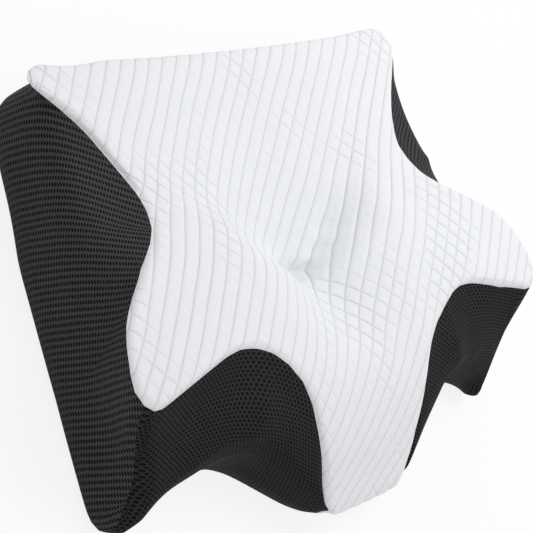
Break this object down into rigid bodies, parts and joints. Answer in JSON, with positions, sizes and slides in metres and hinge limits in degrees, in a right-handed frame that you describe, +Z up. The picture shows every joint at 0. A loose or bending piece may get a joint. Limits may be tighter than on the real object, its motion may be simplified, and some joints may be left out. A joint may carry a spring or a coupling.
{
  "type": "contoured cervical pillow",
  "caption": "Butterfly-shaped memory-foam neck support pillow with a hollowed head cradle, raised neck ridge, side wings, a front lobe and a removable zipped cover.",
  "frame": {"origin": "middle of the resting base, on the surface it lies on", "axes": "+X from wing to wing, -Y towards the front lobe, +Z up"},
  "size_m": [0.577, 0.375, 0.0971],
  "materials": {
    "quilt": "quilted knit, matt",
    "mesh": "open spacer mesh, matt",
    "base": "plain knit, matt",
    "liner": "thin jersey, matt",
    "foam": "moulded open-cell foam, matt",
    "tape": "woven tape, matt",
    "teeth": "moulded, satin",
    "zip_metal": "black enamel, satin"
  },
  "bodies": {
    "cushion": {"foam_core": "foam", "inner_liner": "liner", "top_panel": "quilt", "side_panel_right": "mesh", "side_panel_left": "mesh", "front_panel_right": "mesh", "front_panel_left": "mesh", "back_facing": "mesh", "base_panel": "base", "zip_tape_upper": "tape", "zip_tape_lower": "tape", "zip_teeth_upper": "teeth", "zip_teeth_lower": "teeth", "zip_top_stops": "zip_metal", "zip_bottom_stop": "zip_metal"},
    "slider": {"zip_slider": "zip_metal"},
    "pull": {"zip_pull": "zip_metal"}
  },
  "joints": [
    {"name": "zip_slide", "type": "slide", "parent": "cushion", "child": "slider", "axis": [-1, 0, 0], "range_m": [0, 0.346], "deforming": ["zip_teeth_upper", "zip_teeth_lower"]},
    {"name": "pull_hinge", "type": "hinge", "parent": "slider", "child": "pull", "pos_m": [0.17349, 0.18505, 0.0305], "axis": [0, 0, 1], "range_deg": [0, 180]}
  ]
}
